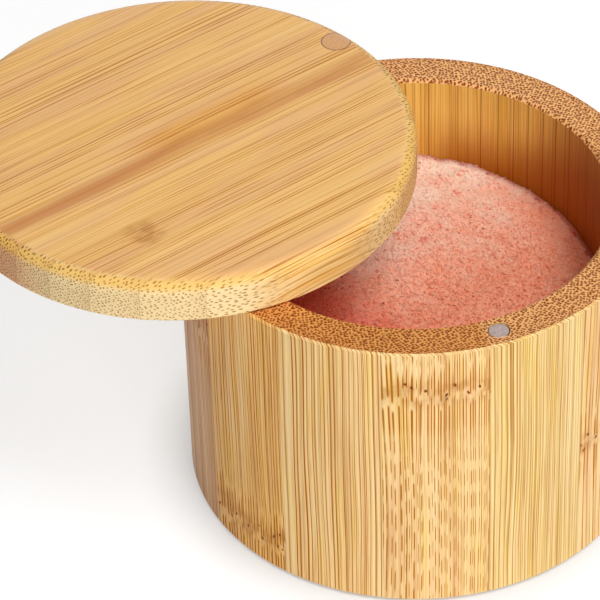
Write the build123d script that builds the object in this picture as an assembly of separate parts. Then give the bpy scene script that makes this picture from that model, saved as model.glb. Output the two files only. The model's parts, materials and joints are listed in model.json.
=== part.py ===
from build123d import *
import math
import os

# A round salt box of glued bamboo: a cup built like a barrel from upright staves round a base disc,
# shut by a flat round lid that swivels sideways on a screw at the rim. A disc magnet in the rim,
# opposite the screw, holds the lid shut. The cup holds loose salt.
# Millimetres, +Z up. The origin is the centre of the box's foot, on the surface it stands on.
# The swivel is at the back (+Y), the rim magnet at the front (-Y), and the lid stands swung open.

# Box: the glued ring of staves, turned and bored in one
box_diameter = 89.0
box_height = 62.0
wall_thickness = 7.75
foot_chamfer = 0.8
rim_outer_chamfer = 0.4
rim_inner_chamfer = 0.6
stave_count = 14
first_joint_angle = -94.0   # degrees from +X, the joint just beside the magnet

# Base disc, glued into a rabbet cut round the foot of the bore
base_thickness = 7.0
rabbet_step = 2.0           # how much wider than the bore the rabbet is, on the radius

# Lid: a flat disc of the box's own diameter, turned from glued board
lid_thickness = 8.8
lid_top_rounding = 2.8
lid_bottom_chamfer = 0.6
lid_swing = 67.0            # degrees from shut, clockwise from above, at which the lid stands

# Disc magnets: one flush in the rim, its partner flush in the lid's underside
magnet_diameter = 4.0
magnet_thickness = 3.0
magnet_chamfer = 0.2
magnet_sink = 0.1           # how far each magnet lies below the wood around it

# Pivot screw: a pan head wood screw with a smooth neck, which the lid turns on
screw_diameter = 2.9
screw_length = 16.0
screw_point_length = 3.0
screw_point_flat = 0.4
screw_head_diameter = 5.4
screw_head_height = 2.0
screw_head_chamfer = 1.0
drive_recess_span = 3.0
drive_recess_width = 0.8
drive_recess_depth = 1.1

# Counterbore in the lid, closed by a wooden plug over the screw's head
counterbore_diameter = 5.9
counterbore_web = 3.2       # wood left in the lid under the screw's head
plug_length = 3.0
plug_entry_chamfer = 0.3

# Salt: the heap in the cup, slightly crowned, which lies higher at the back left
salt_depth = 34.6           # at the middle of the cup
salt_slope = 8.5            # degrees, at the middle
salt_high_side = 120.0      # degrees from +X
salt_crown_radius = 600.0

# Clearances
lid_lift = 0.1              # under the lid, so that it slides over the rim
head_lift = 0.1             # under the screw's head, so that the lid isn't clamped
pivot_clearance = 0.07      # on the radius, between the lid and the screw's neck
glue_clearance = 0.05       # on the radius, round each magnet and round the base disc
salt_clearance = 0.05       # on the radius, between the salt and the wall
screw_hole_spare = 1.0      # below the screw's point
cut_over = 1.0              # how far a cutter runs past the wood

# Places worked out from the sizes above
box_radius = box_diameter / 2
bore_radius = box_radius - wall_thickness
rabbet_radius = bore_radius + rabbet_step
wall_middle = box_radius - wall_thickness / 2       # the screw and the magnets stand in mid-wall
stave_angle = 360 / stave_count
lid_bottom = box_height + lid_lift
lid_top = lid_bottom + lid_thickness
web_top = lid_bottom + counterbore_web
head_seat = web_top + head_lift
screw_tip = head_seat - screw_length
pocket_radius = magnet_diameter / 2 + glue_clearance
swivel = Axis((0, wall_middle, 0), (0, 0, 1))


def half_section(corners, roundings=(), chamfers=()):
    """A half section of turned work, by (radius, height) corners, some of them rounded or chamfered."""
    section = make_face(Polyline(*corners, close=True))
    for corner, size in roundings:
        section = fillet(section.vertices().sort_by_distance(corner)[0], size)
    for corner, size in chamfers:
        section = chamfer(section.vertices().sort_by_distance(corner)[0], size)
    return Plane.XZ * section


def round_cutter(x, y, low, high, radius):
    """An upright round cutter at (x, y), from one height to another."""
    return Pos(x, y, (low + high) / 2) * Cylinder(radius, high - low)


def swung(piece):
    """Turn a piece of the shut lid about the swivel to where the lid stands."""
    return piece.rotate(swivel, -lid_swing)


def staves():
    """The barrel-built wall, one solid a stave, with the magnet's pocket and the screw's hole in it."""
    corners = [
        (rabbet_radius, 0),
        (box_radius, 0),
        (box_radius, box_height),
        (bore_radius, box_height),
        (bore_radius, base_thickness),
        (rabbet_radius, base_thickness),
    ]
    chamfers = [
        ((box_radius, 0), foot_chamfer),
        ((box_radius, box_height), rim_outer_chamfer),
        ((bore_radius, box_height), rim_inner_chamfer),
    ]
    wall = half_section(corners, chamfers=chamfers)
    pocket_floor = box_height - magnet_sink - magnet_thickness
    hole_floor = screw_tip - screw_hole_spare
    pocket = round_cutter(0, -wall_middle, pocket_floor, box_height + cut_over, pocket_radius)
    screw_hole = round_cutter(0, wall_middle, hole_floor, box_height + cut_over, screw_diameter / 2)
    ring = []
    for number in range(stave_count):
        stave = revolve(wall, Axis.Z, stave_angle)
        stave = Rot(0, 0, first_joint_angle + number * stave_angle) * stave
        ring.append(stave - pocket - screw_hole)
    return ring


def base_disc():
    """The disc that closes the box below, up against the rabbet's shoulder and flush with the foot."""
    return Pos(0, 0, base_thickness / 2) * Cylinder(rabbet_radius - glue_clearance, base_thickness)


def salt():
    """The salt that fills the cup: a round slug, its top cut by a ball so large that it is nearly flat."""
    slope = math.radians(salt_slope)
    aside = salt_crown_radius * math.sin(slope)
    centre_height = base_thickness + salt_depth - salt_crown_radius * math.cos(slope)
    ball = Rot(0, 0, salt_high_side) * Pos(aside, 0, centre_height) * Sphere(salt_crown_radius)
    return round_cutter(0, 0, base_thickness, box_height, bore_radius - salt_clearance) & ball


def magnet(x, y, low):
    """A disc magnet with the edges of its faces chamfered."""
    disc = Pos(x, y, low + magnet_thickness / 2) * Cylinder(magnet_diameter / 2, magnet_thickness)
    return chamfer(disc.edges().filter_by(GeomType.CIRCLE), magnet_chamfer)


def rim_magnet():
    """The magnet that shows in the rim, on the floor of its pocket."""
    return magnet(0, -wall_middle, box_height - magnet_sink - magnet_thickness)


def lid_magnet():
    """The partner magnet, against the roof of its pocket in the lid's underside."""
    return swung(magnet(0, -wall_middle, lid_bottom + magnet_sink))


def lid_outline():
    """The shut lid's turned disc before any hole is cut: rounded over above, chamfered below."""
    corners = [(0, lid_bottom), (box_radius, lid_bottom), (box_radius, lid_top), (0, lid_top)]
    roundings = [((box_radius, lid_top), lid_top_rounding)]
    chamfers = [((box_radius, lid_bottom), lid_bottom_chamfer)]
    return revolve(half_section(corners, roundings, chamfers), Axis.Z)


def lid():
    """The lid, with the stepped pivot hole at the back and the magnet's pocket in its underside."""
    pocket_roof = lid_bottom + magnet_sink + magnet_thickness
    bore_size = screw_diameter / 2 + pivot_clearance
    disc = lid_outline()
    disc -= round_cutter(0, wall_middle, lid_bottom - cut_over, lid_top + cut_over, bore_size)
    disc -= round_cutter(0, wall_middle, web_top, lid_top + cut_over, counterbore_diameter / 2)
    disc -= round_cutter(0, -wall_middle, lid_bottom - cut_over, pocket_roof, pocket_radius)
    return swung(disc)


def pivot_plug():
    """The wooden plug glued over the screw, turned flush with the lid's top and its rounded edge."""
    low = lid_top - plug_length
    plug = round_cutter(0, wall_middle, low, lid_top + cut_over, counterbore_diameter / 2)
    plug = chamfer(plug.edges().group_by(Axis.Z)[0], plug_entry_chamfer)
    return swung(plug & lid_outline())


def pivot_screw():
    """The wood screw: a chamfered pan head, a straight body and a blunted point, with a cross recess."""
    radius = screw_diameter / 2
    head_radius = screw_head_diameter / 2
    head_top = head_seat + screw_head_height
    corners = [
        (0, screw_tip),
        (screw_point_flat / 2, screw_tip),
        (radius, screw_tip + screw_point_length),
        (radius, head_seat),
        (head_radius, head_seat),
        (head_radius, head_top),
        (0, head_top),
    ]
    chamfers = [((head_radius, head_top), screw_head_chamfer)]
    screw = revolve(half_section(corners, chamfers=chamfers), Axis.Z)
    slot = Box(drive_recess_span, drive_recess_width, 2 * drive_recess_depth)
    screw -= Pos(0, 0, head_top) * (slot + Rot(0, 0, 90) * slot)
    return Pos(0, wall_middle, 0) * screw


def main():
    os.makedirs("parts", exist_ok=True)
    pieces = {f"stave_{number:02d}": piece for number, piece in enumerate(staves(), start=1)}
    pieces |= {
        "base_disc": base_disc(),
        "salt": salt(),
        "rim_magnet": rim_magnet(),
        "pivot_screw": pivot_screw(),
        "lid": lid(),
        "lid_magnet": lid_magnet(),
        "pivot_plug": pivot_plug(),
    }
    for name, piece in pieces.items():
        export_step(piece, f"parts/{name}.step")
    swing = math.radians(lid_swing)
    lid_centre = (-wall_middle * math.sin(swing), wall_middle * (1 - math.cos(swing)))
    print("swivel at y", wall_middle, "lid centre", [round(v, 2) for v in lid_centre], "height", lid_top)


main()
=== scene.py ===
import json
import math

import bmesh
import bpy
from bpy.props import FloatProperty, FloatVectorProperty, IntProperty, PointerProperty
from mathutils import Matrix, Vector, noise


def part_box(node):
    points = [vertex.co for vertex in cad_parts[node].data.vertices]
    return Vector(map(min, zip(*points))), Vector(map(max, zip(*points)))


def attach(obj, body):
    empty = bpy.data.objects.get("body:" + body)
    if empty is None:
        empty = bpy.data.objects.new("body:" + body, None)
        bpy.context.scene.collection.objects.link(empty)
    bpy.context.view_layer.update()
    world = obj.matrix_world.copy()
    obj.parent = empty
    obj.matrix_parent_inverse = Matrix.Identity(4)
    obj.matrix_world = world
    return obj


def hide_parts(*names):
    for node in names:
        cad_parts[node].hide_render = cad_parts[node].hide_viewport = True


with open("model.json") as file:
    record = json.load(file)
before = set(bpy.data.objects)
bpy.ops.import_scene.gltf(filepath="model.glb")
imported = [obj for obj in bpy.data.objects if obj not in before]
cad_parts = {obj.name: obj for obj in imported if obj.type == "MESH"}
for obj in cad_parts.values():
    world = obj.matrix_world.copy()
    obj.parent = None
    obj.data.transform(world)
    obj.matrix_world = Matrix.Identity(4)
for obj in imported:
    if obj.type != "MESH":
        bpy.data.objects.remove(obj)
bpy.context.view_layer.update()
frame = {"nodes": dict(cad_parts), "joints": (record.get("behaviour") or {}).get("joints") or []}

bl_info = {
    "name": "Bamboo Salt Box",
    "version": (1, 0, 0),
    "blender": (4, 5, 0),
    "location": "3D View > Sidebar > Salt Box",
    "description": "Finishes a round bamboo salt box with a swivel lid, fills it with salt and lights it",
    "category": "Object",
}

MM = 0.001

# ------------------------------ sizes read from the frame

STAVES = sorted(name for name in frame["nodes"] if name.startswith("stave_"))
STAVE_PITCH = 360 / len(STAVES)
FIRST_JOINT = -94.0  # degrees from +X, where stave_01 begins
LID_LOW, LID_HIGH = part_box("lid")
LID_CENTRE = (LID_LOW + LID_HIGH) / 2
OUTER_RADIUS = (LID_HIGH.x - LID_LOW.x) / 2
SALT_LOW, SALT_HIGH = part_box("salt")
PIVOT = Vector(frame["joints"][0]["pos_m"])


def middle_of(node):
    """The middle of a CAD node's box, in metres."""
    low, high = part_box(node)
    return (low + high) / 2


def linear(red, green, blue):
    """A colour given as a screen shows it, 0 to 255, as the linear values that shaders use."""
    def one(value):
        value /= 255
        return value / 12.92 if value <= 0.04045 else ((value + 0.055) / 1.055) ** 2.4
    return (one(red), one(green), one(blue))


def opaque(colour):
    """Three values of a colour as the four of a colour socket."""
    return (*colour, 1.0)


class Paints:
    """Gives the colours of a property group by name, as colour sockets take them."""

    def __init__(self, settings):
        self.settings = settings

    def __getitem__(self, name):
        return opaque(getattr(self.settings, name))


# ------------------------------ settings

def colour_setting(name, description, red, green, blue):
    return FloatVectorProperty(name=name, description=description, subtype="COLOR", size=3,
                               min=0, max=1, default=linear(red, green, blue))


def length_setting(name, description, default):
    return FloatProperty(name=name, description=description, default=default, min=0,
                         unit="LENGTH", subtype="DISTANCE", precision=5)


def share_setting(name, description, default):
    return FloatProperty(name=name, description=description, default=default, min=0, max=1,
                         subtype="FACTOR")


def angle_setting(name, description, degrees):
    return FloatProperty(name=name, description=description, default=math.radians(degrees),
                         unit="ROTATION", subtype="ANGLE")


def power_setting(name, description, default):
    return FloatProperty(name=name, description=description, default=default, min=0, unit="POWER")


class SaltBoxBamboo(bpy.types.PropertyGroup):
    """Colours and pattern of the bamboo."""

    pale: colour_setting("Pale", "Plain wood of the palest staves", 248, 211, 151)
    honey: colour_setting("Honey", "Plain wood of the warmer staves", 250, 200, 124)
    straw: colour_setting("Straw", "Plain wood of the yellower staves", 238, 208, 144)
    # Stave 11's plain wood: partly its own pinker tone, partly painted shade for the box's darker left
    # side.
    rose: colour_setting("Rose", "Plain wood of the pinker staves", 236, 188, 146)
    light: colour_setting("Light", "The lightest fibres", 250, 228, 180)
    inside: colour_setting("Inside", "Plain wood on the inner face of the wall", 246, 200, 104)
    # Painted shade: the inner face is darkened low down and away from the lid.
    inside_deep: colour_setting("Deep Inside", "The inner face, low and away from the lid", 176, 104, 29)
    streak: colour_setting("Streak", "Fibre bundles where they run along a face", 182, 102, 12)
    hair: colour_setting("Hair", "Fine dark lines along the fibres", 156, 100, 14)
    rim_orange: colour_setting("Orange Rim", "End grain of the redder staves", 228, 158, 84)
    rim_tan: colour_setting("Tan Rim", "End grain of the paler staves", 242, 180, 112)
    rim_rose: colour_setting("Rose Rim", "End grain of the pinker staves", 252, 190, 121)
    dots: colour_setting("Dots", "Fibre bundles cut across", 132, 52, 0)
    lid_dots: colour_setting("Lid Dots", "Fibre bundles cut across at the lid's edge", 172, 114, 44)
    lid: colour_setting("Lid", "Plain wood of the lid's strips", 247, 195, 122)
    lid_tan: colour_setting("Tan Lid", "Pinker patches in the lid's strips", 240, 186, 132)
    lid_light: colour_setting("Light Lid", "The lightest fibres of the lid", 250, 218, 160)
    # Painted highlight: the lid's lightest fibres turn whiter on its rounded edge.
    lid_bright: colour_setting("Bright Lid", "The lightest fibres on its rounded edge", 255, 242, 206)
    lid_end: colour_setting("Lid End Grain", "End grain on the lid's edge", 245, 218, 164)
    lid_brown: colour_setting("Brown Lid End Grain", "End grain of the browner strips", 226, 162, 112)
    lid_gold: colour_setting("Lid Rounding", "Slanting cuts on the lid's rounded edge", 242, 194, 100)
    lid_streak: colour_setting("Lid Streak", "Fibre bundles along the lid's strips", 166, 96, 16)
    stain: colour_setting("Stain", "The reddish bands along some of the lid's strips", 196, 120, 58)
    joint: colour_setting("Joint", "Glue lines between strips", 120, 72, 34)
    strip_width: length_setting("Strip Width", "Width of one of the lid's strips", 7.4 * MM)
    first_strip: FloatProperty(name="First Joint", default=-1.4 * MM, unit="LENGTH",
                               subtype="DISTANCE",
                               description="Glue line nearest the lid's centre, across the grain")
    grain_angle: angle_setting("Lid Grain Angle", "Which way the lid's fibres run, from +X", 17.0)
    dot_pitch: length_setting("Dot Pitch", "Distance between fibre bundles", 0.62 * MM)


class SaltBoxSalt(bpy.types.PropertyGroup):
    """Shape and colour of the salt."""

    level: length_setting("Level", "Height of the salt at the middle of the box", 41.6 * MM)
    slope: angle_setting("Slope", "How steeply the salt lies at the middle", 8.5)
    high_side: angle_setting("High Side", "Where the salt lies highest, from +X", 120.0)
    crown: length_setting("Crown", "Radius of the salt's rounded top", 600.0 * MM)
    swell: length_setting("Swell", "Height of the low waves in the salt", 0.7 * MM)
    grain: length_setting("Grain", "Size of the coarser grains", 0.38 * MM)
    spacing: length_setting("Spacing", "Distance between the coarser grains", 0.56 * MM)
    seed: IntProperty(name="Seed", description="Seed of the grains' places", default=7, min=0)
    pink: colour_setting("Pink", "Most of the grains", 255, 164, 130)
    # The lightest grains, also used for the heap's paler back, which is partly painted light.
    pale: colour_setting("Pale", "The lightest grains", 254, 222, 202)
    # The reddest grains, and also the painted shadow of the lid on the salt towards -X.
    deep: colour_setting("Deep", "The reddest grains", 232, 98, 72)
    # A few dark grains, and also the painted shade where the salt meets the wall.
    speck: colour_setting("Speck", "A few dark grains", 166, 50, 34)


class SaltBoxFittings(bpy.types.PropertyGroup):
    """Colours of the plug, the magnets and the screw."""

    plug: colour_setting("Plug", "The plug's end grain", 220, 162, 103)
    plug_ring: colour_setting("Plug Ring", "Glue and shadow round the plug", 120, 70, 48)
    nickel: colour_setting("Nickel", "Plating of the magnets", 166, 148, 142)
    zinc: colour_setting("Zinc", "Plating of the screw", 205, 204, 198)


class SaltBoxStage(bpy.types.PropertyGroup):
    """Floor, lamps and background."""

    floor: colour_setting("Floor", "Colour of the floor", 240, 240, 240)
    floor_lift: share_setting("Floor Lift", "Share of its own white in the floor that is seen", 0.52)
    floor_glow: FloatProperty(name="Floor Glow", description="Strength of the floor's own white",
                              default=1.37, min=0)
    contact: length_setting("Contact", "How far the shade close to the box's foot reaches", 11.0 * MM)
    key: power_setting("Key", "Power of the lamp overhead", 6.6)
    front: power_setting("Front", "Power of the lamp at the front", 5.0)
    back: power_setting("Back", "Power of the lamp behind", 1.6)
    sky: FloatProperty(name="Sky", description="Light from all round", default=0.12, min=0)
    lens: FloatProperty(name="Lens", description="Focal length on a 36 mm sensor", default=214.884,
                        min=1, unit="CAMERA")


# ------------------------------ shader building

class Builder:
    """Adds nodes to a tree one step at a time. A value is a socket, a number or a tuple."""

    def __init__(self, tree):
        self.tree = tree
        self.column = 0

    def node(self, kind, **settings):
        made = self.tree.nodes.new(kind)
        made.location = (self.column * 180, -(self.column % 5) * 160)
        self.column += 1
        for key, value in settings.items():
            setattr(made, key, value)
        return made

    def feed(self, socket, value):
        if isinstance(value, bpy.types.NodeSocket):
            self.tree.links.new(value, socket)
        elif value is not None:
            socket.default_value = value

    def feeds(self, made, **values):
        """Feeds the sockets of a node by their names."""
        for label, value in values.items():
            self.feed(made.inputs[label], value)

    def result(self, kind, values, **settings):
        """The first output of a new node whose sockets are fed in order."""
        made = self.node(kind, **settings)
        for socket, value in zip(made.inputs, values):
            self.feed(socket, value)
        return made.outputs[0]

    def math(self, operation, *values, clamp=False):
        return self.result("ShaderNodeMath", values, operation=operation, use_clamp=clamp)

    def plus(self, first, second, clamp=False):
        return self.math("ADD", first, second, clamp=clamp)

    def minus(self, first, second):
        return self.math("SUBTRACT", first, second)

    def times(self, first, second, clamp=False):
        return self.math("MULTIPLY", first, second, clamp=clamp)

    def times_plus(self, value, factor, more):
        return self.math("MULTIPLY_ADD", value, factor, more)

    def divide(self, first, second):
        return self.math("DIVIDE", first, second)

    def absolute(self, value):
        return self.math("ABSOLUTE", value)

    def distance(self, place, start=(0, 0, 0)):
        made = self.node("ShaderNodeVectorMath", operation="DISTANCE")
        self.feed(made.inputs[0], place)
        self.feed(made.inputs[1], start)
        return made.outputs["Value"]

    def vector(self, x, y, z=0.0):
        return self.result("ShaderNodeCombineXYZ", (x, y, z))

    def parts(self, value):
        made = self.node("ShaderNodeSeparateXYZ")
        self.feed(made.inputs[0], value)
        return made.outputs[0], made.outputs[1], made.outputs[2]

    def ramp(self, value, low, high, to_low=0.0, to_high=1.0):
        """A smooth step of the value from low to high."""
        values = (value, low, high, to_low, to_high)
        return self.result("ShaderNodeMapRange", values, interpolation_type="SMOOTHSTEP")

    def mix(self, share, first, second, blend="MIX"):
        made = self.node("ShaderNodeMix", data_type="RGBA", blend_type=blend)
        self.feed(made.inputs[0], share)
        self.feed(made.inputs[6], first)
        self.feed(made.inputs[7], second)
        return made.outputs[2]

    def blend(self, share, first, second):
        """A mix of two shaders."""
        return self.result("ShaderNodeMixShader", (share, first, second))

    def noise(self, place, scale=1.0, detail=2.0, roughness=0.5):
        made = self.node("ShaderNodeTexNoise", noise_dimensions="3D")
        self.feeds(made, Vector=place, Scale=scale, Detail=detail, Roughness=roughness)
        return made.outputs["Fac"], made.outputs["Color"]

    def cells(self, place, randomness, scale=1.0, dimensions="2D"):
        """Distance from the nearest of the scattered points, and the colour drawn for that point."""
        made = self.node("ShaderNodeTexVoronoi", voronoi_dimensions=dimensions)
        self.feed(made.inputs["W" if dimensions == "1D" else "Vector"], place)
        self.feeds(made, Scale=scale, Randomness=randomness)
        return made.outputs["Distance"], made.outputs["Color"]


def new_group(name, inputs, outputs):
    """A shader node group with named sockets, its builder, and what goes into it and comes out."""
    tree = bpy.data.node_groups.new(name, "ShaderNodeTree")
    for label, kind, default in inputs:
        socket = tree.interface.new_socket(name=label, in_out="INPUT", socket_type=kind)
        if default is not None:
            socket.default_value = default
    for label, kind in outputs:
        tree.interface.new_socket(name=label, in_out="OUTPUT", socket_type=kind)
    build = Builder(tree)
    start = build.node("NodeGroupInput")
    end = build.node("NodeGroupOutput")
    return tree, build, start.outputs, end.inputs


NO_NODE = -500.0  # mm: so far down the fibres that no node shows
SEED_STEP = 37.7  # keeps the patterns of two seeds apart
ROW_COS, ROW_SIN = 0.88, 0.47  # the rows of dots are turned by 28 degrees
YELLOWER = (1.0, 0.99, 0.72, 1)
PINKER = (1.0, 0.93, 0.98, 1)
WARMER = (1.0, 0.86, 0.52, 1)


def bamboo_group():
    """Bamboo in depth. The vector is in mm: X in from the dense outer side of a strip, Y across its
    width, Z along the fibres. End Grain is 1 where the surface cuts the fibres across."""
    name = "Bamboo"
    if name in bpy.data.node_groups:
        return bpy.data.node_groups[name]
    number, colour, vector = "NodeSocketFloat", "NodeSocketColor", "NodeSocketVector"
    inputs = [("Vector", vector, None), ("End Grain", number, 0.0)]
    for label in ("Plain", "Light", "Streak", "Hair", "End Plain", "Dot"):
        inputs.append((label, colour, (0.5, 0.5, 0.5, 1)))
    for label, default in (
            ("Dot Pitch", 0.8), ("Dot Size", 0.4), ("Streak Pitch", 1.2), ("Streak Width", 0.14),
            ("Streak Strength", 0.8), ("Hair Pitch", 0.45), ("Hair Strength", 0.5), ("Silk", 1.0),
            ("Tone", 1.0), ("Dash Length", 60.0), ("Dashes", 0.2), ("Chevrons", 0.0),
            ("Node At", NO_NODE), ("Pits", 1.0), ("Seed", 0.0)):
        inputs.append((label, number, default))
    outputs = [("Color", colour), ("Roughness", number), ("Height", number)]
    tree, b, given, result = new_group(name, inputs, outputs)
    x, y, z = b.parts(given["Vector"])
    shift = b.times(given["Seed"], SEED_STEP)
    end = given["End Grain"]
    side = b.minus(1.0, end)

    # Bundles crowd together towards the outer side.
    crowd = b.math("EXPONENT", b.times(b.math("MAXIMUM", x, -1.0), -0.6))
    rows = b.plus(x, b.times(b.minus(1.0, crowd), 1.3))

    # Cut across, they are dots in slanting rows.
    row = b.divide(b.times(rows, 0.95), given["Dot Pitch"])
    in_row = b.divide(y, given["Dot Pitch"])
    turned_row = b.times_plus(row, ROW_COS, b.times_plus(in_row, -ROW_SIN, shift))
    turned_in_row = b.times_plus(in_row, ROW_COS, b.times(row, ROW_SIN))
    dot_away, dot_cell = b.cells(b.vector(turned_row, turned_in_row), 0.62)
    dot_one, dot_two, _ = b.parts(dot_cell)
    dot_size = b.times(given["Dot Size"], b.times_plus(dot_two, 0.4, 0.8))
    dot = b.ramp(dot_away, dot_size, b.times(dot_size, 0.65))
    dot = b.times(dot, b.times_plus(dot_one, 0.25, 0.75))

    # Cut lengthways, they are lines that wander slowly along the strip.
    slow = b.vector(b.times_plus(x, 0.12, shift), b.times(y, 0.12), b.times(z, 0.02))
    sway, _ = b.noise(slow, detail=1.0)
    across = b.times_plus(sway, 1.6, b.plus(rows, y))
    line_place = b.plus(b.divide(across, given["Streak Pitch"]), shift)
    line_away, line_cell = b.cells(line_place, 0.8, dimensions="1D")
    line_one, line_two, _ = b.parts(line_cell)
    over = b.plus(x, y)
    waver, _ = b.noise(b.vector(b.times(over, 0.5), shift), detail=1.0)
    from_node = b.minus(b.times_plus(waver, 4.0, b.minus(z, given["Node At"])), 2.0)
    near_node = b.ramp(b.absolute(from_node), 10.0, 7.0)
    line_width = b.times(given["Streak Width"], b.times_plus(line_two, 0.8, 0.6))
    line_width = b.times(line_width, b.times_plus(near_node, 0.5, 1.0))
    line = b.ramp(line_away, line_width, b.times(line_width, 0.5))
    beside_line = b.ramp(line_away, b.times(line_width, 2.2), b.times(line_width, 0.8))
    weight = b.times_plus(line_one, 0.45, 0.55)

    # A line comes and goes, in places in rows of chevrons.
    dash_place = b.vector(b.times_plus(line_one, 40.0, shift), b.times(line_two, 40.0),
                          b.divide(z, given["Dash Length"]))
    dash, _ = b.noise(dash_place, detail=1.0)
    peak = b.times_plus(b.absolute(b.plus(y, 2.0)), 0.9, z)
    peak = b.times_plus(sway, 16.0, b.times_plus(line_two, 3.4, peak))
    wave = b.times_plus(b.math("SINE", b.times(peak, 0.95)), 0.15, 0.52)
    dash = b.times_plus(b.minus(wave, dash), given["Chevrons"], dash)
    dash = b.ramp(dash, 0.42, 0.56)
    dash = b.times_plus(b.minus(dash, 1.0), given["Dashes"], 1.0)

    # At a node short dark dashes stand above and below a golden band with small pits.
    start = b.times_plus(b.minus(line_two, 0.5), 4.0, from_node)
    finish = b.times_plus(b.minus(line_one, 0.5), 8.0, from_node)
    above = b.times(b.ramp(start, 0.4, 1.4), b.ramp(finish, 10.0, 6.0))
    below = b.times(b.ramp(start, -0.8, -2.0), b.ramp(finish, -17.0, -7.0))
    beside = b.math("MAXIMUM", above, below)
    reach = b.times(dash, b.minus(1.0, near_node))
    reach = b.math("MAXIMUM", b.times(beside, 1.2), reach)
    inward = b.ramp(x, 5.0, 7.0, 1.0, 0.55)
    reach = b.times(b.times(weight, reach), b.times(given["Streak Strength"], inward))
    streak = b.times(line, reach, clamp=True)
    streak_warm = b.times(beside_line, reach, clamp=True)
    from_band = b.absolute(b.minus(from_node, 1.0))
    blotch, _ = b.noise(b.vector(b.times(over, 0.35), shift, b.times(z, 0.3)), detail=3.0)
    band = b.times(b.ramp(from_band, 4.5, 1.0), b.ramp(blotch, 0.35, 0.65, 0.1, 0.5))
    pit_place = b.vector(b.times_plus(over, 0.4, shift), b.times(from_node, 0.3))
    pit_away, _ = b.cells(pit_place, 0.95)
    pit = b.times(b.ramp(pit_away, 0.15, 0.07), b.ramp(from_band, 2.4, 1.8))
    pit = b.times(b.times(pit, side), given["Pits"])

    # Hair lines in groups, a slow change of tone, and silk.
    hair_place = b.plus(b.divide(across, given["Hair Pitch"]), shift)
    hair_away, hair_cell = b.cells(hair_place, 1.0, dimensions="1D")
    hair_one, hair_two, _ = b.parts(hair_cell)
    fade, _ = b.noise(b.vector(b.times(hair_one, 50.0), shift, b.times(z, 0.06)), detail=1.0)
    tone_place = b.vector(b.times_plus(across, 0.4, shift), b.times(y, 0.05), b.times(z, 0.012))
    tone, _ = b.noise(tone_place, detail=3.0, roughness=0.55)
    gain = b.times(b.times_plus(hair_two, 0.8, 0.2), b.ramp(fade, 0.3, 0.6, 0.2, 1.0))
    gain = b.times(gain, b.ramp(tone, 0.38, 0.58, 0.35, 1.0))
    gain = b.times(gain, b.times(given["Hair Strength"], inward))
    hair = b.times(b.ramp(hair_away, 0.26, 0.1), gain)
    hair_warm = b.times(b.ramp(hair_away, 0.45, 0.15), gain)
    silk_place = b.vector(b.times_plus(across, 3.6, shift), b.times(y, 0.4), b.times(z, 0.06))
    silk, _ = b.noise(silk_place, detail=3.0, roughness=0.6)

    # Silk, tone and hue tint the plain wood, and the node's band, lines and pits lie over it.
    silk_light = b.times(b.ramp(silk, 0.5, 0.3, 0.0, 0.45), given["Silk"])
    silk_dark = b.times(b.ramp(silk, 0.52, 0.75, 0.0, 0.35), given["Silk"])
    plain = b.mix(silk_light, given["Plain"], given["Light"])
    plain = b.mix(silk_dark, plain, given["Streak"])
    tone_dark = b.times(b.ramp(tone, 0.52, 0.72, 0.0, 0.3), given["Tone"])
    tone_light = b.times(b.ramp(tone, 0.46, 0.3, 0.0, 0.5), given["Tone"])
    plain = b.mix(tone_dark, plain, given["Streak"])
    plain = b.mix(tone_light, plain, given["Light"])
    hue_place = b.vector(b.times_plus(across, 0.55, shift), 5.0, b.times(z, 0.03))
    hue, _ = b.noise(hue_place, detail=2.0)
    hue_gain = b.times(b.times(side, 0.8), given["Tone"])
    for low, high, tint in ((0.52, 0.66, YELLOWER), (0.46, 0.32, PINKER)):
        plain = b.mix(b.times(b.ramp(hue, low, high), hue_gain), plain, tint, blend="MULTIPLY")
    plain = b.mix(band, plain, given["Streak"])
    warm = b.times(b.math("MAXIMUM", hair_warm, streak_warm), 0.8, clamp=True)
    plain = b.mix(warm, plain, WARMER, blend="MULTIPLY")
    long_grain = b.mix(hair, plain, given["Hair"])
    line_colour = b.mix(b.ramp(line_two, 0.35, 0.8, 0.0, 0.4), given["Streak"], given["Hair"])
    long_grain = b.mix(streak, long_grain, line_colour)
    long_grain = b.mix(b.times(pit, 0.95), long_grain, given["Dot"])
    cut = b.mix(b.times(crowd, 0.18), given["End Plain"], given["Dot"])
    cut = b.mix(b.ramp(silk, 0.45, 0.75, 0.0, 0.15), cut, given["Dot"])
    end_grain = b.mix(dot, cut, given["Dot"])
    b.feed(result["Color"], b.mix(end, long_grain, end_grain))
    mark = b.math("MAXIMUM", b.times(streak, side), b.times(dot, end))
    b.feed(result["Roughness"], b.times_plus(silk, 0.12, b.times_plus(mark, 0.16, 0.36)))
    height = b.times_plus(silk, 0.4, b.times(mark, -0.6))
    b.feed(result["Height"], b.times_plus(pit, -2.5, height))
    return tree


WOOD_RELIEF = 0.06 * MM
WOOD_SHINE = 0.12
SALT_RELIEF = 0.08 * MM
SALT_SHINE = 0.15


def emptied(block):
    """A builder for a material's or a world's nodes, which it clears away first."""
    block.use_nodes = True
    block.node_tree.nodes.clear()
    return Builder(block.node_tree)


def new_material(name):
    """A material with a Principled shader, and its builder."""
    material = bpy.data.materials.new(name)
    b = emptied(material)
    skin = b.node("ShaderNodeBsdfPrincipled")
    output = b.node("ShaderNodeOutputMaterial")
    b.feed(output.inputs["Surface"], skin.outputs[0])
    return material, b, skin


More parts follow.
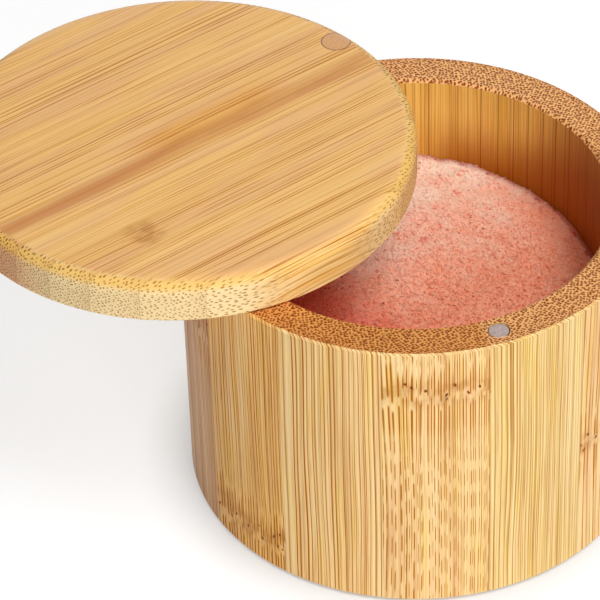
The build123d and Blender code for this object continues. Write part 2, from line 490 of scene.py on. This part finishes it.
def object_place(b, turn=(0, 0, 0), offset=(0, 0, 0)):
    """Object coordinates in mm, turned and then moved by a Mapping node, and the turned normal."""
    coordinates = b.node("ShaderNodeTexCoord")
    mapping = b.node("ShaderNodeMapping", vector_type="POINT")
    b.feeds(mapping, Vector=coordinates.outputs["Object"], Location=offset, Rotation=turn,
            Scale=(1 / MM, 1 / MM, 1 / MM))
    facing = b.node("ShaderNodeMapping", vector_type="NORMAL")
    b.feeds(facing, Vector=coordinates.outputs["Normal"], Rotation=turn)
    return mapping.outputs["Vector"], facing.outputs["Vector"]


def bump(b, height, distance, strength=1.0):
    made = b.node("ShaderNodeBump")
    b.feeds(made, Height=height, Distance=distance, Strength=strength)
    return made.outputs["Normal"]


def place_bamboo(b, skin, values):
    """Puts the shared bamboo group into a material and feeds its shader."""
    settings = bpy.context.scene.salt_box_bamboo
    paint = Paints(settings)
    shared = {"Light": paint["light"], "Streak": paint["streak"], "Hair": paint["hair"],
              "Dot": paint["dots"], "Dot Pitch": settings.dot_pitch / MM}
    group = b.node("ShaderNodeGroup", node_tree=bamboo_group())
    b.feeds(group, **(shared | values))
    b.feed(skin.inputs["Roughness"], group.outputs["Roughness"])
    b.feed(skin.inputs["Normal"], bump(b, group.outputs["Height"], WOOD_RELIEF))
    skin.inputs["Specular IOR Level"].default_value = WOOD_SHINE
    return group


# ------------------------------ materials

# What differs from stave to stave: plain colour, rim colour, streak pitch in mm, streak strength,
# hair lines, dashes, dash length in mm, chevrons, node height in mm.
STAVE_LOOKS = {
    1: ("straw", "rim_tan", 0.72, 0.95, 1.00, 0.3, 60.0, 0.0, NO_NODE),
    2: ("pale", "rim_tan", 0.90, 1.00, 1.00, 0.4, 40.0, 0.0, 28.0),
    3: ("pale", "rim_tan", 0.95, 0.95, 0.70, 0.3, 60.0, 0.0, NO_NODE),
    4: ("honey", "rim_tan", 1.05, 1.00, 0.70, 0.2, 80.0, 0.0, 14.0),
    5: ("pale", "rim_rose", 1.10, 0.90, 0.70, 0.3, 50.0, 0.0, NO_NODE),
    6: ("straw", "rim_rose", 0.80, 0.80, 0.90, 0.3, 50.0, 0.0, NO_NODE),
    7: ("pale", "rim_rose", 1.10, 1.05, 0.60, 0.2, 70.0, 0.0, NO_NODE),
    8: ("honey", "rim_rose", 0.85, 0.90, 0.80, 0.3, 50.0, 0.0, NO_NODE),
    9: ("straw", "rim_tan", 0.72, 1.00, 0.60, 0.9, 18.0, 0.7, 25.0),
    10: ("pale", "rim_tan", 1.00, 1.10, 0.60, 0.2, 60.0, 0.0, NO_NODE),
    # Stave 11 is darker and pinker, partly as painted shade on the box's left side.
    11: ("rose", "rim_orange", 0.90, 0.95, 0.85, 0.3, 50.0, 0.0, 48.0),
    12: ("honey", "rim_orange", 0.75, 1.20, 0.90, 0.4, 30.0, 0.2, 6.5),
    13: ("pale", "rim_orange", 0.84, 1.10, 0.60, 0.1, 150.0, 0.0, NO_NODE),
    14: ("pale", "rim_orange", 0.62, 1.15, 0.80, 0.9, 8.0, 0.8, 51.8),
}

# Painted shade: the inner face is darkened below the rim and away from the lid, where shade falls. All in
# mm, up the wall or towards +X.
SHADE_HEIGHT = (56.0, 41.0)
SHADE_EAST = (12.0, 22.0)
DEEP_EAST = (13.0, 21.2)
DEEP_LEAN = -0.3  # for each mm up, so that the deep shade reaches in at the foot


def stave_material(number, look):
    """Bamboo with upright fibres, in the frame of one stave: X out from the axis, through its middle."""
    paint = Paints(bpy.context.scene.salt_box_bamboo)
    plain, rim, pitch, strength, hair, dashes, dash_length, chevrons, node_at = look
    material, b, skin = new_material(f"Bamboo stave {number:02d}")
    middle = math.radians(FIRST_JOINT + (number - 0.5) * STAVE_PITCH)
    place, facing = object_place(b, turn=(0, 0, -middle))
    x, y, z = b.parts(place)
    _, _, up = b.parts(facing)
    depth = b.minus(OUTER_RADIUS / MM, x)
    end = b.ramp(b.plus(b.absolute(up), b.ramp(depth, 3.0, 5.0, 0.0, 0.2)), 0.74, 0.9)
    inner = b.ramp(depth, 5.5, 7.0)
    east = b.minus(b.times(x, math.cos(middle)), b.times(y, math.sin(middle)))
    # Painted shade: darker low down the inner face and towards +X, away from the lid.
    low = b.times(b.ramp(z, *SHADE_HEIGHT), b.ramp(east, *SHADE_EAST, 0.2, 1.0))
    far = b.ramp(b.times_plus(z, DEEP_LEAN, east), *DEEP_EAST)
    light = b.times(b.minus(1.0, low), b.minus(1.0, far))
    inside = b.mix(light, paint["inside_deep"], paint["inside"])
    group = place_bamboo(b, skin, {
        "Vector": b.vector(depth, y, z), "End Grain": end,
        "Plain": b.mix(inner, paint[plain], inside),
        "Light": b.mix(inner, paint["light"], inside),
        "End Plain": paint[rim], "Dot Size": 0.46, "Streak Pitch": pitch,
        "Streak Strength": strength, "Hair Strength": hair, "Dashes": dashes,
        "Dash Length": dash_length, "Chevrons": chevrons, "Node At": node_at, "Seed": float(number)})

    # The bore cuts into bundles, which show as fine dark lines on the inner face.
    cut_away, cut_cell = b.cells(b.times_plus(y, 0.55, number * 3.3), 1.0, dimensions="1D")
    cut_one, _, _ = b.parts(cut_cell)
    cut = b.times(b.ramp(cut_away, 0.085, 0.035), b.times_plus(cut_one, 0.6, 0.2))
    cut = b.times(b.times(cut, inner), b.minus(1.0, end))
    wood = b.mix(cut, group.outputs["Color"], paint["dots"])

    half = math.radians(STAVE_PITCH / 2)
    side = b.times(b.absolute(y), math.cos(half))
    from_joint = b.minus(b.times(x, math.sin(half)), side)
    joint = b.times(b.ramp(from_joint, 0.12, 0.03), 0.25)
    b.feed(skin.inputs["Base Color"], b.mix(joint, wood, paint["joint"]))
    return material


LID_DICE = 20.5  # picks the looks of the strips
NODE_STRIP = -3.0  # the one strip with a node, counted from the first joint
NODE_ALONG = -24.0  # mm from the lid's centre, along the fibres
STAIN_ACROSS = -3.5  # mm from the lid's centre, across them
GLOW_ALONG = 7.0  # mm: the middle of a warmer patch near the lid's centre
GLOW = (0.9, 0.75, 0.47, 1)


def lid_material():
    """Strips on edge, side by side: the fibres lie flat, and each strip is dense at one side."""
    settings = bpy.context.scene.salt_box_bamboo
    paint = Paints(settings)
    material, b, skin = new_material("Bamboo lid")
    turn = -settings.grain_angle
    centre = Matrix.Rotation(turn, 3, "Z") @ LID_CENTRE / MM
    place, facing = object_place(b, turn=(0, 0, turn), offset=(-centre.x, -centre.y, 0))
    x, y, z = b.parts(place)
    along, _, up = b.parts(facing)
    end = b.ramp(b.absolute(along), 0.1, 0.4)
    width = settings.strip_width / MM
    count = b.divide(b.minus(y, settings.first_strip / MM), width)
    strip = b.math("FLOOR", count)
    across = b.times(b.math("FRACT", count), width)

    # Each strip has its own looks.
    dice = b.node("ShaderNodeTexWhiteNoise", noise_dimensions="1D")
    b.feed(dice.inputs["W"], b.plus(strip, LID_DICE))
    one, two, three = b.parts(dice.outputs["Color"])
    wood = b.mix(b.times(one, 0.5), paint["lid"], paint["honey"])
    patch, _ = b.noise(b.vector(b.times(x, 0.035), b.times(y, 0.16), 8.0), detail=3.0)
    wood = b.mix(b.ramp(patch, 0.45, 0.6, 0.0, 0.6), wood, paint["lid_tan"])
    apart = b.times(two, 90.0)
    has_node = b.math("COMPARE", strip, NODE_STRIP, 0.5)
    node_at = b.times_plus(has_node, NODE_ALONG - NO_NODE, b.plus(apart, NO_NODE))

    # On the rounded edge the wood is more golden, until it shows its end grain, and its light fibres turn
    # whiter as a painted highlight.
    steep = b.ramp(up, 0.985, 0.8)
    rounding = b.times(b.ramp(up, 0.15, 0.65, 0.0, 0.8), b.ramp(up, 0.99, 0.9))
    wood = b.mix(b.ramp(up, 0.98, 0.75, 0.0, 0.55), wood, paint["lid_gold"])
    brown = b.mix(b.ramp(y, -18.0, -4.0, 0.0, 0.9), paint["lid_end"], paint["lid_brown"])
    brown = b.mix(b.ramp(along, 0.2, 0.6, 0.0, 0.8), brown, paint["honey"])
    cut = b.mix(rounding, brown, paint["lid_gold"])
    dots = b.mix(b.ramp(y, -36.0, -12.0), paint["lid_dots"], paint["dots"])
    group = place_bamboo(b, skin, {
        "Vector": b.vector(across, z, b.plus(apart, x)), "End Grain": end, "Plain": wood,
        # Painted highlight: whiter light fibres on the rounded edge.
        "Light": b.mix(steep, paint["lid_light"], paint["lid_bright"]),
        "Streak": paint["lid_streak"], "Hair": paint["lid_streak"], "End Plain": cut, "Dot": dots,
        "Dot Size": 0.26, "Streak Pitch": 1.3, "Streak Width": 0.07,
        "Streak Strength": b.times_plus(three, 0.4, 0.25), "Hair Pitch": 0.72, "Tone": 0.45,
        "Hair Strength": b.times_plus(steep, 1.0, 0.9),
        "Silk": b.times_plus(steep, 1.2, 0.25), "Dashes": 0.7, "Dash Length": 40.0,
        "Node At": node_at, "Pits": 0.0, "Seed": strip})

    # A reddish band runs along the fibres, and a warm patch lies near the middle.
    from_stain = b.absolute(b.minus(y, STAIN_ACROSS))
    stain = b.times(b.ramp(from_stain, 3.1, 0.7), b.ramp(patch, 0.3, 0.6, 0.4, 0.7))
    stain = b.times(stain, b.minus(1.0, end))
    stained = b.mix(stain, group.outputs["Color"], paint["stain"])
    from_glow = b.absolute(b.minus(x, GLOW_ALONG))
    glow = b.times(b.ramp(b.absolute(y), 5.0, 1.0), b.ramp(from_glow, 22.0, 8.0))
    glow = b.times(glow, b.ramp(patch, 0.35, 0.6, 0.6, 1.0))
    stained = b.mix(glow, stained, GLOW, blend="MULTIPLY")
    edge = b.math("MINIMUM", across, b.minus(width, across))
    joint = b.times(b.ramp(edge, 0.12, 0.03), 0.12)
    b.feed(skin.inputs["Base Color"], b.mix(joint, stained, paint["joint"]))
    return material


BOARD_WIDTH = 19.0  # mm, of the strips that the base is glued from


def base_material():
    """A plain sanded board with flat fibres."""
    paint = Paints(bpy.context.scene.salt_box_bamboo)
    material, b, skin = new_material("Bamboo base")
    place, facing = object_place(b, turn=(0, 0, math.radians(-35)))
    x, y, z = b.parts(place)
    along, _, _ = b.parts(facing)
    end = b.ramp(b.absolute(along), 0.45, 0.85)
    board = b.divide(y, BOARD_WIDTH)
    group = place_bamboo(b, skin, {
        "Vector": b.vector(b.plus(z, 1.0), y, x), "End Grain": end, "Plain": paint["pale"],
        "End Plain": paint["rim_tan"], "Streak Pitch": 0.8, "Streak Strength": 0.6,
        "Hair Strength": 0.5, "Dashes": 0.9, "Dash Length": 25.0, "Chevrons": 0.5, "Node At": 12.0,
        "Seed": b.math("FLOOR", board)})
    across = b.math("FRACT", board)
    line = b.math("MINIMUM", across, b.minus(1.0, across))
    joint = b.times(b.ramp(line, 0.008, 0.002), 0.4)
    b.feed(skin.inputs["Base Color"], b.mix(joint, group.outputs["Color"], paint["joint"]))
    return material


RING_HEART = (4.5, -6.0, 0)  # mm from the plug's middle, where its growth rings start
PLUG_EDGE = (2.62, 2.88)  # mm from its middle, where the dark line round it begins


def plug_material():
    """End grain of a small turned plug, with faint growth rings and a dark line round it."""
    paint = Paints(bpy.context.scene.salt_box_fittings)
    material, b, skin = new_material("Plug end grain")
    height = middle_of("pivot_plug").z
    place, _ = object_place(b, offset=(-PIVOT.x / MM, -PIVOT.y / MM, -height / MM))
    x, y, _ = b.parts(place)
    flat = b.vector(x, y)
    wobble, _ = b.noise(place, scale=0.6)
    rings = b.math("SINE", b.times(b.plus(b.distance(flat, RING_HEART), wobble), 9.0))
    speck, _ = b.noise(place, scale=5.0, detail=3.0)
    ring_mask = b.times(b.ramp(rings, -0.2, 1.0), 0.3)
    dark = b.mix(0.45, paint["plug"], paint["plug_ring"])
    wood = b.mix(ring_mask, paint["plug"], dark)
    wood = b.mix(b.times(b.ramp(speck, 0.45, 0.7), 0.35), wood, dark)
    edge = b.ramp(b.distance(flat), *PLUG_EDGE)
    b.feed(skin.inputs["Base Color"], b.mix(edge, wood, paint["plug_ring"]))
    b.feed(skin.inputs["Roughness"], b.times_plus(speck, 0.2, 0.4))
    b.feed(skin.inputs["Normal"], bump(b, b.minus(speck, edge), 0.05 * MM))
    return material


def plated_material(name, colour, centre, roughness):
    """Plated metal with fine scuffs in all directions."""
    material, b, skin = new_material(name)
    place, _ = object_place(b, offset=tuple(-value / MM for value in centre))
    x, y, z = b.parts(place)
    cloud, _ = b.noise(place, scale=0.9, detail=3.0)
    scuff_one, _ = b.noise(b.vector(b.times(x, 9.0), b.times(y, 0.8), z), detail=3.0)
    scuff_two, _ = b.noise(b.vector(b.times(x, 0.7), b.times(y, 8.0), z), detail=3.0)
    scuff = b.math("MAXIMUM", b.ramp(scuff_one, 0.58, 0.7), b.ramp(scuff_two, 0.6, 0.72))
    darker = opaque([value * 0.82 for value in colour])
    shade = b.mix(b.ramp(cloud, 0.35, 0.7), opaque(colour), darker)
    b.feed(skin.inputs["Base Color"], b.mix(b.times(scuff, 0.25), shade, (0.9, 0.9, 0.9, 1)))
    skin.inputs["Metallic"].default_value = 1.0
    b.feed(skin.inputs["Roughness"], b.times_plus(b.plus(cloud, scuff), 0.12, roughness))
    b.feed(skin.inputs["Normal"], bump(b, scuff, 0.004 * MM))
    return material


GRAINS_PER_MM = 2.4
SPECKS = (0.996, 0.998)  # so that about three grains in a thousand are dark


def salt_material():
    """Crushed pink rock salt: each grain has its own tint, and the heap is paler towards the back, partly
    as painted light.
    """
    paint = Paints(bpy.context.scene.salt_box_salt)
    material, b, skin = new_material("Pink rock salt")
    place, _ = object_place(b)
    x, y, _ = b.parts(place)
    grain_away, grain = b.cells(place, 1.0, scale=GRAINS_PER_MM, dimensions="3D")
    one, two, three = b.parts(grain)
    cloud, _ = b.noise(place, scale=0.13, detail=3.0)
    # Partly painted light and partly the salt's own tone: the heap is paler towards the back, where more
    # light falls.
    back = b.times_plus(x, -0.35, y)
    back = b.times_plus(b.minus(cloud, 0.5), 40.0, back)
    mixed = b.mix(b.ramp(back, -8.0, 26.0), paint["pink"], paint["pale"])
    mixed = b.mix(b.ramp(one, 0.4, 1.0, 0.0, 0.25), mixed, paint["pale"])
    mixed = b.mix(b.ramp(two, 0.6, 1.0, 0.0, 0.35), mixed, paint["deep"])
    lump, _ = b.noise(place, scale=0.55, detail=4.0, roughness=0.65)
    mixed = b.mix(b.ramp(lump, 0.54, 0.76, 0.0, 0.35), mixed, paint["pale"])
    mixed = b.mix(b.ramp(lump, 0.44, 0.28, 0.0, 0.7), mixed, paint["deep"])
    # Painted shadow of the lid: the salt towards -X, under the lid, is mixed towards the deep colour.
    painted_lid_shadow = b.times(b.times_plus(y, 0.3, x), -1.0)
    mixed = b.mix(b.ramp(painted_lid_shadow, 5.0, 20.0, 0.0, 0.8), mixed, paint["deep"])
    mixed = b.mix(b.ramp(three, *SPECKS, 0.0, 0.8), mixed, paint["speck"])

    # Painted shade where the salt meets the wall, in the speck colour.
    from_wall = b.minus(SALT_HIGH.x / MM, b.distance(b.vector(x, y)))
    from_wall = b.times_plus(b.minus(lump, 0.5), 2.5, from_wall)
    mixed = b.mix(b.ramp(from_wall, 1.5, 0.1, 0.0, 0.65), mixed, paint["speck"])
    b.feed(skin.inputs["Base Color"], mixed)
    b.feed(skin.inputs["Roughness"], b.times_plus(one, 0.3, 0.4))
    relief = b.times_plus(lump, 3.0, grain_away)
    b.feed(skin.inputs["Normal"], bump(b, relief, SALT_RELIEF, 0.6))
    skin.inputs["Specular IOR Level"].default_value = SALT_SHINE
    skin.inputs["Subsurface Weight"].default_value = 0.4
    skin.inputs["Subsurface Radius"].default_value = (1.0, 0.5, 0.4)
    skin.inputs["Subsurface Scale"].default_value = 0.6 * MM
    return material


# ------------------------------ pieces

def dress(node, material):
    """Gives a CAD node a better material and leaves its mesh alone."""
    piece = frame["nodes"][node]
    for slot in piece.material_slots:
        slot.material = material


def new_object(name, data):
    made = bpy.data.objects.new(name, data)
    bpy.context.scene.collection.objects.link(made)
    return made


SALT_WAVES = ((0.016, 1.0), (0.006, 0.45))  # length in m, share of the swell
EDGE_WAVE = 0.0024  # m: the shortest wave, which grows towards the wall
WAVES_AT = 3.7  # the layer of noise that the waves are read from
SALT_RINGS, SALT_TURNS = 44, 220


def salt_height(x, y, settings):
    """Height of the salt at a point of the box, all in metres."""
    aside = settings.crown * math.sin(settings.slope)
    from_ball = Vector((x - aside * math.cos(settings.high_side),
                        y - aside * math.sin(settings.high_side)))
    drop = math.sqrt(settings.crown ** 2 - from_ball.length_squared)
    fall = settings.crown * math.cos(settings.slope) - drop
    near_wall = max(0.0, math.hypot(x, y) / SALT_HIGH.x - 0.85) / 0.15
    wave = 0
    for length, share in (*SALT_WAVES, (EDGE_WAVE, 0.3 + 0.5 * near_wall)):
        wave += share * noise.noise(Vector((x / length, y / length, WAVES_AT)))
    return settings.level - fall + settings.swell * wave


def salt_bed(settings):
    """A closed body of salt that fills the cup up to its sloping, uneven top."""
    radius = (SALT_HIGH.x - SALT_LOW.x) / 2
    mesh = bmesh.new()
    middle = mesh.verts.new((0, 0, salt_height(0, 0, settings)))
    rows = []
    for ring in range(1, SALT_RINGS + 1):
        row = []
        out = radius * ring / SALT_RINGS
        for turn in range(SALT_TURNS):
            angle = 2 * math.pi * turn / SALT_TURNS
            x, y = out * math.cos(angle), out * math.sin(angle)
            row.append(mesh.verts.new((x, y, salt_height(x, y, settings))))
        rows.append(row)
    rows.append([mesh.verts.new((v.co.x, v.co.y, SALT_LOW.z)) for v in rows[-1]])
    bottom = mesh.verts.new((0, 0, SALT_LOW.z))
    for turn in range(SALT_TURNS):
        after = (turn + 1) % SALT_TURNS
        mesh.faces.new((middle, rows[0][turn], rows[0][after]))
        mesh.faces.new((rows[-1][after], rows[-1][turn], bottom))
        for inner, outer in zip(rows, rows[1:]):
            mesh.faces.new((inner[turn], outer[turn], outer[after], inner[after]))
    bmesh.ops.recalc_face_normals(mesh, faces=mesh.faces)
    bed = bpy.data.meshes.new("salt_heap")
    mesh.to_mesh(bed)
    mesh.free()
    return bed


CRYSTAL = (1.0, 0.85, 0.7)  # a grain's sides, as shares of its size
SMALLEST, SPREAD = 0.75, 1.3  # of the set size: the smallest grains, and what the largest add
RARITY = 6.0  # the higher, the fewer grains are large


def grain_tree():
    """Geometry Nodes that strew small cut crystals over the top of the salt."""
    tree = bpy.data.node_groups.new("Salt grains", "GeometryNodeTree")
    face = tree.interface
    face.new_socket(name="Geometry", in_out="INPUT", socket_type="NodeSocketGeometry")
    for label, kind in (("Spacing", "NodeSocketFloat"), ("Grain", "NodeSocketFloat"),
                        ("Seed", "NodeSocketInt"), ("Material", "NodeSocketMaterial")):
        face.new_socket(name=label, in_out="INPUT", socket_type=kind)
    face.new_socket(name="Geometry", in_out="OUTPUT", socket_type="NodeSocketGeometry")
    b = Builder(tree)
    start = b.node("NodeGroupInput").outputs
    end = b.node("NodeGroupOutput")
    _, _, up = b.parts(b.node("GeometryNodeInputNormal").outputs[0])
    strew = b.node("GeometryNodeDistributePointsOnFaces")
    density = b.divide(1.0, b.times(start["Spacing"], start["Spacing"]))
    b.feeds(strew, Mesh=start["Geometry"], Selection=b.math("GREATER_THAN", up, 0.5),
            Density=density, Seed=start["Seed"])
    crystal = b.node("GeometryNodeMeshCube")
    crystal.inputs["Size"].default_value = CRYSTAL
    turn = b.node("FunctionNodeRandomValue", data_type="FLOAT_VECTOR")
    turn.inputs[1].default_value = (math.tau, math.tau, math.tau)
    spread = b.node("FunctionNodeRandomValue", data_type="FLOAT")
    for dice in (turn, spread):
        b.feeds(dice, Seed=start["Seed"])
    few_large = b.plus(b.times(b.math("POWER", spread.outputs[1], RARITY), SPREAD), SMALLEST)
    place = b.node("GeometryNodeInstanceOnPoints")
    b.feeds(place, Points=strew.outputs["Points"], Instance=crystal.outputs["Mesh"],
            Rotation=turn.outputs[0], Scale=b.times(few_large, start["Grain"]))
    real = b.node("GeometryNodeRealizeInstances")
    b.feed(real.inputs[0], place.outputs[0])
    join = b.node("GeometryNodeJoinGeometry")
    b.feed(join.inputs[0], real.outputs[0])
    b.feed(join.inputs[0], start["Geometry"])
    colour = b.node("GeometryNodeSetMaterial")
    b.feeds(colour, Geometry=join.outputs[0], Material=start["Material"])
    b.feed(end.inputs[0], colour.outputs[0])
    return tree


def grow(piece, tree, values):
    """Runs a Geometry Nodes tree on a piece and keeps the result as its plain mesh."""
    modifier = piece.modifiers.new(tree.name, "NODES")
    modifier.node_group = tree
    for item in tree.interface.items_tree:
        if item.in_out == "INPUT" and item.name in values:
            modifier[item.identifier] = values[item.name]
    done = piece.evaluated_get(bpy.context.evaluated_depsgraph_get())
    mesh = bpy.data.meshes.new_from_object(done)
    piece.modifiers.remove(modifier)
    piece.data = mesh
    if not mesh.polygons:
        raise RuntimeError(f"{tree.name} made nothing")


# ------------------------------ operators

class SALTBOX_OT_staves(bpy.types.Operator):
    """Finish the staves of the wall, each with its own grain"""

    bl_idname = "salt_box.staves"
    bl_label = "Finish Staves"

    def execute(self, context):
        for number, node in enumerate(STAVES, start=1):
            dress(node, stave_material(number, STAVE_LOOKS[number]))
        return {"FINISHED"}


class SALTBOX_OT_base(bpy.types.Operator):
    """Finish the base disc"""

    bl_idname = "salt_box.base"
    bl_label = "Finish Base"

    def execute(self, context):
        dress("base_disc", base_material())
        return {"FINISHED"}


class SALTBOX_OT_lid(bpy.types.Operator):
    """Finish the lid and the plug over its pivot"""

    bl_idname = "salt_box.lid"
    bl_label = "Finish Lid"

    def execute(self, context):
        dress("lid", lid_material())
        dress("pivot_plug", plug_material())
        return {"FINISHED"}


class SALTBOX_OT_metal(bpy.types.Operator):
    """Finish the magnets and the pivot screw"""

    bl_idname = "salt_box.metal"
    bl_label = "Finish Metal"

    def execute(self, context):
        settings = context.scene.salt_box_fittings
        for node, name in (("rim_magnet", "Nickel rim magnet"), ("lid_magnet", "Nickel lid magnet")):
            dress(node, plated_material(name, settings.nickel, middle_of(node), roughness=0.34))
        dress("pivot_screw", plated_material("Zinc screw", settings.zinc, PIVOT, roughness=0.3))
        return {"FINISHED"}


class SALTBOX_OT_salt(bpy.types.Operator):
    """Fill the box with pink salt"""

    bl_idname = "salt_box.salt"
    bl_label = "Fill With Salt"

    def execute(self, context):
        settings = context.scene.salt_box_salt
        salt = new_object("salt_heap", salt_bed(settings))
        material = salt_material()
        salt.data.materials.append(material)
        grow(salt, grain_tree(), {"Spacing": settings.spacing, "Grain": settings.grain,
                                  "Seed": settings.seed, "Material": material})
        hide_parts("salt")
        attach(salt, "box")
        return {"FINISHED"}


FLOOR_HALF = 6.0  # m
FLOOR_FADE = (150.0, 420.0)  # mm from the middle, where the floor turns plain white
CONTACT_SHADE = 0.7  # how much darker the floor is in the corner at the foot

# Lamps and camera, in m.
LAMP_TARGET = (0, 0, 0.04)
LAMP_SIZE = 0.5
KEY_PLACE = (0.17, -0.38, 0.95)
FRONT_PLACE = (-0.10, -0.92, 0.41)
BACK_PLACE = (0.25, 0.90, 0.28)
CAMERA_PLACE = (-0.19270, -0.48654, 0.48248)
CAMERA_RIGHT = Vector((0.93648835, -0.34970105, -0.02643386))
CAMERA_UP = Vector((0.24550682, 0.59989956, 0.7614768))
CAMERA_FORWARD = Vector((0.25043158, 0.71960384, -0.64765294))


def lamp(name, place, power):
    """A square soft lamp that looks at the box."""
    light = bpy.data.lights.new(name, "AREA")
    light.shape = "SQUARE"
    light.size = LAMP_SIZE
    light.energy = power
    made = new_object(name, light)
    made.location = place
    aim = Vector(LAMP_TARGET) - Vector(place)
    made.rotation_euler = aim.to_track_quat("-Z", "Y").to_euler()


class SALTBOX_OT_stage(bpy.types.Operator):
    """Set up the floor, the lamps, the white surroundings and the camera"""

    bl_idname = "salt_box.stage"
    bl_label = "Set Up Stage"

    def execute(self, context):
        settings = context.scene.salt_box_stage
        self.floor(settings)
        self.surroundings(settings)
        self.lamps(settings)
        self.camera(settings)
        context.scene.view_settings.view_transform = "Standard"
        return {"FINISHED"}

    def floor(self, settings):
        mesh = bpy.data.meshes.new("floor")
        corners = [(x * FLOOR_HALF, y * FLOOR_HALF, 0) for x, y in ((-1, -1), (1, -1), (1, 1), (-1, 1))]
        mesh.from_pydata(corners, [], [(0, 1, 2, 3)])
        floor = new_object("floor", mesh)
        material = bpy.data.materials.new("Studio floor")
        b = emptied(material)
        place, _ = object_place(b)
        grain, _ = b.noise(place, scale=0.02)
        shade = [value * 0.99 for value in settings.floor]
        paper_colour = b.mix(grain, opaque(settings.floor), opaque(shade))
        seen = self.seen(b)
        paper = b.node("ShaderNodeBsdfDiffuse")
        b.feeds(paper, Color=paper_colour)
        white = b.node("ShaderNodeEmission")
        contact = b.node("ShaderNodeAmbientOcclusion", samples=8)
        b.feeds(contact, Distance=settings.contact)
        open_share = b.times_plus(contact.outputs["AO"], CONTACT_SHADE, 1 - CONTACT_SHADE)
        b.feeds(white, Strength=b.times(open_share, settings.floor_glow))
        lifted = b.blend(b.times(seen, settings.floor_lift), paper.outputs[0], white.outputs[0])
        far = b.node("ShaderNodeEmission")
        away = b.times(b.ramp(b.distance(place), *FLOOR_FADE), seen)
        output = b.node("ShaderNodeOutputMaterial")
        b.feed(output.inputs["Surface"], b.blend(away, lifted, far.outputs[0]))
        mesh.materials.append(material)

    def seen(self, b):
        """1 for rays from the camera, off a mirror or through glass, which see the white."""
        path = b.node("ShaderNodeLightPath")
        seen = b.plus(path.outputs["Is Camera Ray"], path.outputs["Is Glossy Ray"])
        return b.plus(seen, path.outputs["Is Transmission Ray"], clamp=True)

    def surroundings(self, settings):
        world = bpy.data.worlds.new("Studio")
        bpy.context.scene.world = world
        b = emptied(world)
        light = b.node("ShaderNodeBackground")
        white = b.node("ShaderNodeBackground")
        for background, strength in ((light, settings.sky), (white, 1.0)):
            b.feeds(background, Color=(1, 1, 1, 1), Strength=strength)
        output = b.node("ShaderNodeOutputWorld")
        mixed = b.blend(self.seen(b), light.outputs[0], white.outputs[0])
        b.feed(output.inputs["Surface"], mixed)

    def lamps(self, settings):
        lamp("Key lamp", KEY_PLACE, settings.key)
        lamp("Front lamp", FRONT_PLACE, settings.front)
        lamp("Back lamp", BACK_PLACE, settings.back)

    def camera(self, settings):
        lens = bpy.data.cameras.new("Camera")
        lens.sensor_width = 36.0
        lens.lens = settings.lens
        lens.clip_start = 0.01
        lens.clip_end = 50.0
        camera = new_object("Camera", lens)
        turned = Matrix((CAMERA_RIGHT, CAMERA_UP, -CAMERA_FORWARD)).transposed().to_4x4()
        camera.matrix_world = Matrix.Translation(CAMERA_PLACE) @ turned
        bpy.context.scene.camera = camera


class SALTBOX_PT_panel(bpy.types.Panel):
    """The steps that finish the salt box"""

    bl_idname = "SALTBOX_PT_panel"
    bl_label = "Salt Box"
    bl_space_type = "VIEW_3D"
    bl_region_type = "UI"
    bl_category = "Salt Box"

    def draw(self, context):
        column = self.layout.column(align=True)
        for step in STEPS:
            column.operator(step.bl_idname)
        for key, group in GROUPS:
            self.layout.label(text=group.__doc__)
            fields = self.layout.column(align=True)
            for field in group.__annotations__:
                fields.prop(getattr(context.scene, key), field)


STEPS = (SALTBOX_OT_staves, SALTBOX_OT_base, SALTBOX_OT_lid, SALTBOX_OT_metal, SALTBOX_OT_salt,
         SALTBOX_OT_stage)
GROUPS = (("salt_box_bamboo", SaltBoxBamboo), ("salt_box_salt", SaltBoxSalt),
          ("salt_box_fittings", SaltBoxFittings), ("salt_box_stage", SaltBoxStage))


def register():
    for key, group in GROUPS:
        bpy.utils.register_class(group)
        setattr(bpy.types.Scene, key, PointerProperty(type=group))
    for kind in (*STEPS, SALTBOX_PT_panel):
        bpy.utils.register_class(kind)


def unregister():
    for kind in reversed((*STEPS, SALTBOX_PT_panel)):
        bpy.utils.unregister_class(kind)
    for key, group in reversed(GROUPS):
        delattr(bpy.types.Scene, key)
        bpy.utils.unregister_class(group)


def main():
    register()
    steps = bpy.ops.salt_box
    for step in (steps.staves, steps.base, steps.lid, steps.metal, steps.salt, steps.stage):
        if step() != {"FINISHED"}:
            raise RuntimeError(f"{step} didn't finish")


if __name__ == "__main__":
    main()
